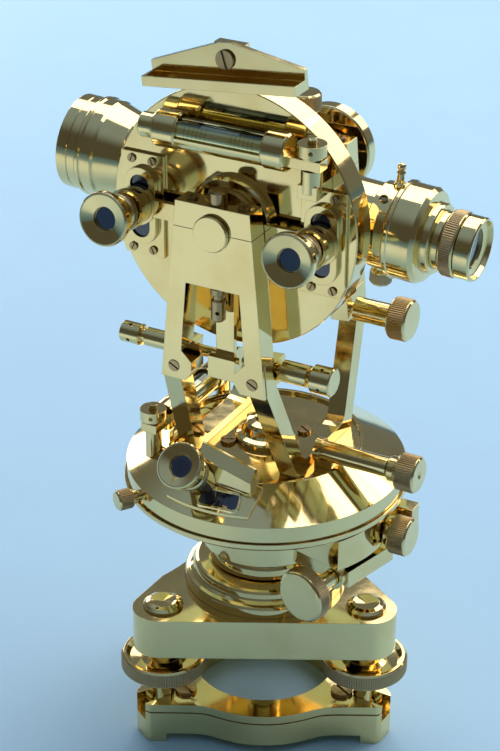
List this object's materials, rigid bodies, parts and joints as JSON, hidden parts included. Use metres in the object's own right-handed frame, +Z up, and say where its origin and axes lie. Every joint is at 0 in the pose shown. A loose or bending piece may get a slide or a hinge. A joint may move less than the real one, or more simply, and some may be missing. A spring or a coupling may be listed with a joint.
{
  "type": "theodolite",
  "caption": "Transit theodolite: levelling base on foot screws, covered horizontal circle, braced standards, transiting telescope, cased vertical circle, microscopes, spirit levels.",
  "frame": {"origin": "on the vertical axis, in the plane the feet stand on, at the centre of the opening in the foot plate", "axes": "+Z up along the vertical axis, X along the telescope with the eyepiece end at +X at rest, -Y towards the front bearing plate and the reading microscopes"},
  "size_m": [0.2027, 0.1491, 0.3534],
  "materials": {
    "brass": "polished and lacquered",
    "silvered_scale": "silvered satin",
    "glass": "polished",
    "mirror": "mirror"
  },
  "bodies": {
    "base": {"trivet_base": "brass", "trivet_lock_plate": "brass", "trivet_screws": "brass", "tribrach": "brass", "foot_screw_caps": "brass", "tribrach_collar": "brass"},
    "foot_screw_left": {"foot_screw_left": "brass"},
    "foot_screw_right": {"foot_screw_right": "brass"},
    "foot_screw_back": {"foot_screw_back": "brass"},
    "limb": {"limb_pan": "brass", "graduated_circle": "silvered_scale"},
    "lower_clamp_arm": {"lower_clamp_arm": "brass"},
    "lower_clamp_knob": {"lower_clamp_knob": "brass"},
    "lower_tangent_screw": {"lower_tangent_screw": "brass"},
    "alidade": {"cover_plate": "brass", "centre_cap": "brass", "side_frame_left": "brass", "side_frame_right": "brass", "front_bearing_plate": "brass", "rear_bearing_plate": "brass", "bearing_caps": "brass", "alidade_screws": "brass", "plate_level_tube": "brass", "plate_level_vial": "glass", "plate_level_posts": "brass", "circle_reader": "brass", "circle_reader_lens": "glass", "upper_tangent_barrel": "brass"},
    "rim_clamp_knob": {"rim_clamp_knob": "brass"},
    "plate_level_nut": {"plate_level_nut": "brass"},
    "circle_reader_cup": {"circle_reader_cup": "brass"},
    "upper_tangent_knob": {"upper_tangent_knob": "brass"},
    "vertical_tangent_screw": {"vertical_tangent_screw": "brass"},
    "clip_screw_left": {"clip_screw_left": "brass"},
    "clip_screw_right": {"clip_screw_right": "brass"},
    "index_frame": {"circle_casing": "brass", "window_frames": "brass", "window_glasses": "glass", "casing_screws": "brass", "reader_arm": "brass", "altitude_level_tube": "brass", "altitude_level_vial": "glass", "altitude_level_brackets": "brass"},
    "reader_cup_left": {"reader_cup_left": "brass"},
    "reader_cup_right": {"reader_cup_right": "brass"},
    "altitude_level_nut": {"altitude_level_nut": "brass"},
    "bubble_mirror": {"mirror_bracket": "brass", "mirror_glass": "mirror"},
    "telescope": {"telescope_tube": "brass", "objective_glass": "glass", "sight_pin": "brass", "vertical_circle": "silvered_scale", "rear_drum": "brass"},
    "draw_tube": {"draw_tube": "brass", "eyepiece_glass": "glass"},
    "eyepiece_ring": {"eyepiece_ring": "brass"},
    "focus_knob": {"focus_knob": "brass"},
    "vertical_clamp_arm": {"vertical_clamp_arm": "brass"},
    "vertical_clamp_knob": {"vertical_clamp_knob": "brass"}
  },
  "joints": [
    {"name": "foot_screw_left_turn", "type": "hinge", "parent": "base", "child": "foot_screw_left", "pos_m": [-0.03009, -0.04723, 0.0145], "axis": [0, 0, 1], "range_deg": [-360, 360]},
    {"name": "foot_screw_right_turn", "type": "hinge", "parent": "base", "child": "foot_screw_right", "pos_m": [0.05595, -0.00244, 0.0145], "axis": [0, 0, 1], "range_deg": [-360, 360]},
    {"name": "foot_screw_back_turn", "type": "hinge", "parent": "base", "child": "foot_screw_back", "pos_m": [-0.02586, 0.04967, 0.0145], "axis": [0, 0, 1], "range_deg": [-360, 360]},
    {"name": "limb_turn", "type": "hinge", "parent": "base", "child": "limb", "pos_m": [0, 0, 0.07], "axis": [0, 0, 1], "continuous": true},
    {"name": "lower_slow_motion", "type": "hinge", "parent": "limb", "child": "lower_clamp_arm", "pos_m": [0, 0, 0.1], "axis": [0, 0, 1], "range_deg": [-2, 2]},
    {"name": "lower_clamp_knob_turn", "type": "hinge", "parent": "limb", "child": "lower_clamp_knob", "pos_m": [0.06, 0.003, 0.114], "axis": [1, 0, 0], "range_deg": [-90, 90]},
    {"name": "lower_tangent_screw_turn", "type": "hinge", "parent": "lower_clamp_arm", "child": "lower_tangent_screw", "pos_m": [0.05066, -0.02294, 0.102], "axis": [-0.2419, -0.9703, 0], "range_deg": [-360, 360]},
    {"name": "alidade_turn", "type": "hinge", "parent": "limb", "child": "alidade", "pos_m": [0, 0, 0.1], "axis": [0, 0, 1], "continuous": true},
    {"name": "rim_clamp_knob_turn", "type": "hinge", "parent": "alidade", "child": "rim_clamp_knob", "pos_m": [-0.03635, -0.05389, 0.1354], "axis": [-0.5592, -0.829, 0], "range_deg": [-90, 90]},
    {"name": "plate_level_nut_turn", "type": "hinge", "parent": "alidade", "child": "plate_level_nut", "pos_m": [-0.042, -0.0335, 0.167], "axis": [0, 0, 1], "range_deg": [-180, 180]},
    {"name": "circle_reader_focus", "type": "hinge", "parent": "alidade", "child": "circle_reader_cup", "pos_m": [-0.006, -0.0542, 0.153], "axis": [0, -0.7431, 0.6691], "range_deg": [-170, 170]},
    {"name": "upper_tangent_knob_turn", "type": "hinge", "parent": "alidade", "child": "upper_tangent_knob", "pos_m": [0.06, -0.0105, 0.157], "axis": [1, 0, 0], "range_deg": [-360, 360]},
    {"name": "vertical_tangent_screw_turn", "type": "hinge", "parent": "alidade", "child": "vertical_tangent_screw", "pos_m": [0.03, 0.036, 0.208], "axis": [1, 0, 0], "range_deg": [-360, 360]},
    {"name": "clip_screw_left_turn", "type": "hinge", "parent": "alidade", "child": "clip_screw_left", "pos_m": [-0.025, -0.036, 0.208], "axis": [1, 0, 0], "range_deg": [-180, 180]},
    {"name": "clip_screw_right_turn", "type": "hinge", "parent": "alidade", "child": "clip_screw_right", "pos_m": [0.025, -0.036, 0.208], "axis": [1, 0, 0], "range_deg": [-180, 180]},
    {"name": "index_setting", "type": "hinge", "parent": "alidade", "child": "index_frame", "pos_m": [0, -0.036, 0.2741], "axis": [0, 1, 0], "range_deg": [-1.5, 1.5]},
    {"name": "reader_left_focus", "type": "hinge", "parent": "index_frame", "child": "reader_cup_left", "pos_m": [-0.0442, -0.04, 0.2738], "axis": [0, -0.9925, 0.1219], "range_deg": [-170, 170]},
    {"name": "reader_right_focus", "type": "hinge", "parent": "index_frame", "child": "reader_cup_right", "pos_m": [0.0442, -0.04, 0.2738], "axis": [0, -0.9925, 0.1219], "range_deg": [-170, 170]},
    {"name": "altitude_level_nut_turn", "type": "hinge", "parent": "index_frame", "child": "altitude_level_nut", "pos_m": [0.0426, -0.044, 0.3176], "axis": [0, 0, 1], "range_deg": [-180, 180]},
    {"name": "mirror_tilt", "type": "hinge", "parent": "index_frame", "child": "bubble_mirror", "pos_m": [-0.002, -0.035, 0.346], "axis": [0, 1, 0], "range_deg": [-4, 10]},
    {"name": "telescope_transit", "type": "hinge", "parent": "alidade", "child": "telescope", "pos_m": [0, 0, 0.2741], "axis": [0, 1, 0], "continuous": true},
    {"name": "draw_tube_slide", "type": "slide", "parent": "telescope", "child": "draw_tube", "axis": [0.9981, 0, -0.061], "range_m": [-0.0035, 0.006]},
    {"name": "eyepiece_ring_turn", "type": "hinge", "parent": "draw_tube", "child": "eyepiece_ring", "pos_m": [0.08983, 0, 0.26861], "axis": [0.9981, 0, -0.061], "range_deg": [-170, 170]},
    {"name": "focus_knob_turn", "type": "hinge", "parent": "telescope", "child": "focus_knob", "pos_m": [0.05579, 0, 0.24604], "axis": [0.061, 0, 0.9981], "range_deg": [-252, 432]},
    {"name": "vertical_slow_motion", "type": "hinge", "parent": "alidade", "child": "vertical_clamp_arm", "pos_m": [0, 0.033, 0.2741], "axis": [0, 1, 0], "range_deg": [-1.5, 1.5]},
    {"name": "vertical_clamp_knob_turn", "type": "hinge", "parent": "vertical_clamp_arm", "child": "vertical_clamp_knob", "pos_m": [0, 0.0338, 0.305], "axis": [0, 0, 1], "range_deg": [-90, 90]}
  ],
  "couplings": [
    {"joint": "focus_knob_turn", "follows": "draw_tube_slide", "rad_per_m": 1250}
  ]
}
